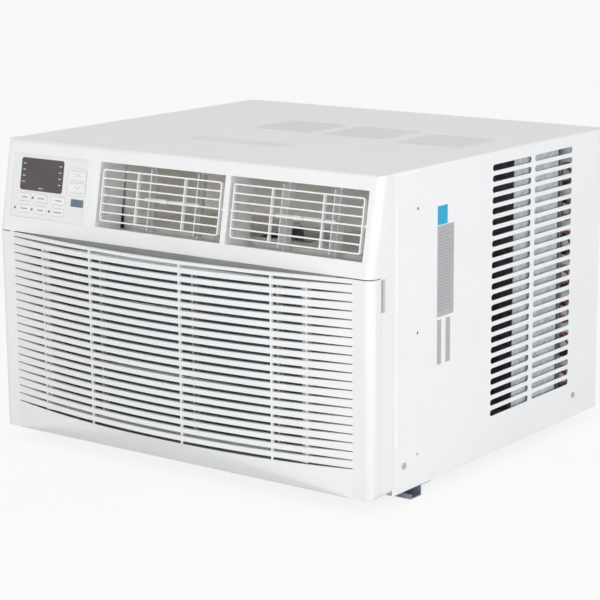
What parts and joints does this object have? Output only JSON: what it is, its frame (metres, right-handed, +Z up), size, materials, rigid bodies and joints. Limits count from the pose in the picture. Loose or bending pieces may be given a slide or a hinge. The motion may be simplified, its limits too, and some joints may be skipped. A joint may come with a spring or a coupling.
{
  "type": "window air conditioner",
  "caption": "Window room air conditioner: louvred sheet-metal cabinet, bowed hinged intake grille, slide-up filter, tilting outlet louvres, key panel, and fan, coil and compressor parts.",
  "frame": {"origin": "centre of the bounding box's underside, on the surface that the unit stands on", "axes": "+X to the right seen from the room, +Y from the room to the outdoors, +Z up"},
  "size_m": [0.663, 0.633, 0.4435],
  "materials": {
    "cabinet_paint": "satin powder coat, slightly pebbled",
    "galvanised": "galvanised sheet with a faint spangle",
    "rail_zinc": "bright zinc plated",
    "screw_steel": "white-painted screw heads",
    "panel_plastic": "fine moulded texture",
    "grille_plastic": "fine moulded texture",
    "seal_foam": "closed-cell foam strip",
    "pin_steel": "drawn wire",
    "filter_plastic": "moulded frame",
    "filter_net": "woven nylon net",
    "overlay": "printed overlay, faint raised keys",
    "display_lens": "smoked gloss window",
    "ir_lens": "tinted gloss window",
    "led": "small dark lens",
    "key_plastic": "soft-touch keycap",
    "circuit_board": "solder mask",
    "louver_plastic": "fine moulded texture",
    "guide_plastic": "moulded",
    "duct_foam": "moulded foam beads",
    "capacitor_can": "drawn can",
    "scroll_plastic": "moulded",
    "blower_plastic": "glass-filled moulding",
    "motor_paint": "satin",
    "shaft_steel": "ground",
    "fin_aluminium": "coated fins",
    "copper": "drawn copper tube",
    "compressor_paint": "gloss enamel",
    "grommet_rubber": "moulded",
    "bolt_steel": "zinc plated",
    "label_cyan": "plain printed film",
    "label_grey": "plain printed film"
  },
  "bodies": {
    "chassis": {"cabinet": "cabinet_paint", "base_pan": "galvanised", "bottom_rail": "rail_zinc", "case_screws": "screw_steel", "rear_guard": "cabinet_paint", "front_panel": "panel_plastic", "slot_seal": "seal_foam", "control_overlay": "overlay", "display_window": "display_lens", "ir_window": "ir_lens", "status_leds": "led", "display_board": "circuit_board", "outlet_guide": "guide_plastic", "air_duct": "duct_foam", "control_box": "galvanised", "main_board": "circuit_board", "run_capacitor": "capacitor_can", "blower_scroll": "scroll_plastic", "fan_motor": "motor_paint", "fan_shroud": "galvanised", "evaporator_fins": "fin_aluminium", "evaporator_tubes": "copper", "condenser_fins": "fin_aluminium", "condenser_tubes": "copper", "coil_end_plates": "galvanised", "bulkhead": "galvanised", "compressor": "compressor_paint", "compressor_grommets": "grommet_rubber", "compressor_bolts": "bolt_steel", "accumulator": "compressor_paint", "refrigerant_lines": "copper", "filter_drier": "copper", "cord_gland": "grommet_rubber", "drain_plug": "grommet_rubber", "efficiency_label": "label_cyan", "rating_labels": "label_grey"},
    "rotor": {"motor_shaft": "shaft_steel", "blower_wheel": "blower_plastic", "condenser_fan": "blower_plastic"},
    "intake_grille": {"intake_grille": "grille_plastic", "grille_hinge_pins": "pin_steel"},
    "filter": {"filter_frame": "filter_plastic", "filter_mesh": "filter_net"},
    "left_louver": {"left_louver": "louver_plastic"},
    "right_louver": {"right_louver": "louver_plastic"},
    "left_vane_1": {"left_vane_1": "louver_plastic"},
    "left_vane_2": {"left_vane_2": "louver_plastic"},
    "left_vane_link": {"left_vane_link": "louver_plastic"},
    "right_vane_1": {"right_vane_1": "louver_plastic"},
    "right_vane_2": {"right_vane_2": "louver_plastic"},
    "right_vane_link": {"right_vane_link": "louver_plastic"},
    "key_power": {"key_power": "key_plastic"},
    "key_mode": {"key_mode": "key_plastic"},
    "key_fan": {"key_fan": "key_plastic"},
    "key_timer": {"key_timer": "key_plastic"},
    "key_sleep": {"key_sleep": "key_plastic"},
    "key_save": {"key_save": "key_plastic"},
    "key_up": {"key_up": "key_plastic"},
    "key_down": {"key_down": "key_plastic"}
  },
  "joints": [
    {"name": "fan_spin", "type": "hinge", "parent": "chassis", "child": "rotor", "pos_m": [0, 0.0265, 0.1905], "axis": [0, 1, 0], "continuous": true},
    {"name": "grille_hinge", "type": "hinge", "parent": "chassis", "child": "intake_grille", "pos_m": [0, -0.2605, 0.0227], "axis": [1, 0, 0], "range_deg": [0, 40]},
    {"name": "filter_slide", "type": "slide", "parent": "intake_grille", "child": "filter", "axis": [0, 0, 1], "range_m": [0, 0.236]},
    {"name": "left_louver_tilt", "type": "hinge", "parent": "chassis", "child": "left_louver", "pos_m": [0, -0.26341, 0.37844], "axis": [1, 0, 0], "range_deg": [-20, 20]},
    {"name": "right_louver_tilt", "type": "hinge", "parent": "chassis", "child": "right_louver", "pos_m": [0, -0.26341, 0.37844], "axis": [1, 0, 0], "range_deg": [-20, 20]},
    {"name": "left_vane_1_swing", "type": "hinge", "parent": "chassis", "child": "left_vane_1", "pos_m": [-0.074, -0.23194, 0.37263], "axis": [0, 0.1815, 0.9834], "range_deg": [-40, 10]},
    {"name": "left_vane_2_swing", "type": "hinge", "parent": "chassis", "child": "left_vane_2", "pos_m": [0.01, -0.23194, 0.37263], "axis": [0, 0.1815, 0.9834], "range_deg": [-40, 10]},
    {"name": "left_link_slide", "type": "slide", "parent": "chassis", "child": "left_vane_link", "axis": [1, 0, 0], "range_m": [-0.0082, 0.0021]},
    {"name": "right_vane_1_swing", "type": "hinge", "parent": "chassis", "child": "right_vane_1", "pos_m": [0.159, -0.23194, 0.37263], "axis": [0, 0.1815, 0.9834], "range_deg": [-25, 25]},
    {"name": "right_vane_2_swing", "type": "hinge", "parent": "chassis", "child": "right_vane_2", "pos_m": [0.243, -0.23194, 0.37263], "axis": [0, 0.1815, 0.9834], "range_deg": [-25, 25]},
    {"name": "right_link_slide", "type": "slide", "parent": "chassis", "child": "right_vane_link", "axis": [1, 0, 0], "range_m": [-0.00515, 0.00515]},
    {"name": "key_power_press", "type": "slide", "parent": "chassis", "child": "key_power", "axis": [0, 0.9834, -0.1815], "range_m": [0, 0.0006], "stiffness_N_per_m": 500},
    {"name": "key_mode_press", "type": "slide", "parent": "chassis", "child": "key_mode", "axis": [0, 0.9834, -0.1815], "range_m": [0, 0.0006], "stiffness_N_per_m": 500},
    {"name": "key_fan_press", "type": "slide", "parent": "chassis", "child": "key_fan", "axis": [0, 0.9834, -0.1815], "range_m": [0, 0.0006], "stiffness_N_per_m": 500},
    {"name": "key_timer_press", "type": "slide", "parent": "chassis", "child": "key_timer", "axis": [0, 0.9834, -0.1815], "range_m": [0, 0.0006], "stiffness_N_per_m": 500},
    {"name": "key_sleep_press", "type": "slide", "parent": "chassis", "child": "key_sleep", "axis": [0, 0.9834, -0.1815], "range_m": [0, 0.0006], "stiffness_N_per_m": 500},
    {"name": "key_save_press", "type": "slide", "parent": "chassis", "child": "key_save", "axis": [0, 0.9834, -0.1815], "range_m": [0, 0.0006], "stiffness_N_per_m": 500},
    {"name": "key_up_press", "type": "slide", "parent": "chassis", "child": "key_up", "axis": [0, 0.9834, -0.1815], "range_m": [0, 0.0006], "stiffness_N_per_m": 500},
    {"name": "key_down_press", "type": "slide", "parent": "chassis", "child": "key_down", "axis": [0, 0.9834, -0.1815], "range_m": [0, 0.0006], "stiffness_N_per_m": 500}
  ],
  "couplings": [
    {"joint": "left_vane_2_swing", "follows": "left_vane_1_swing", "ratio": 1},
    {"joint": "left_link_slide", "follows": "left_vane_1_swing", "m_per_rad": 0.0117},
    {"joint": "right_vane_2_swing", "follows": "right_vane_1_swing", "ratio": 1},
    {"joint": "right_link_slide", "follows": "right_vane_1_swing", "m_per_rad": 0.01175}
  ]
}
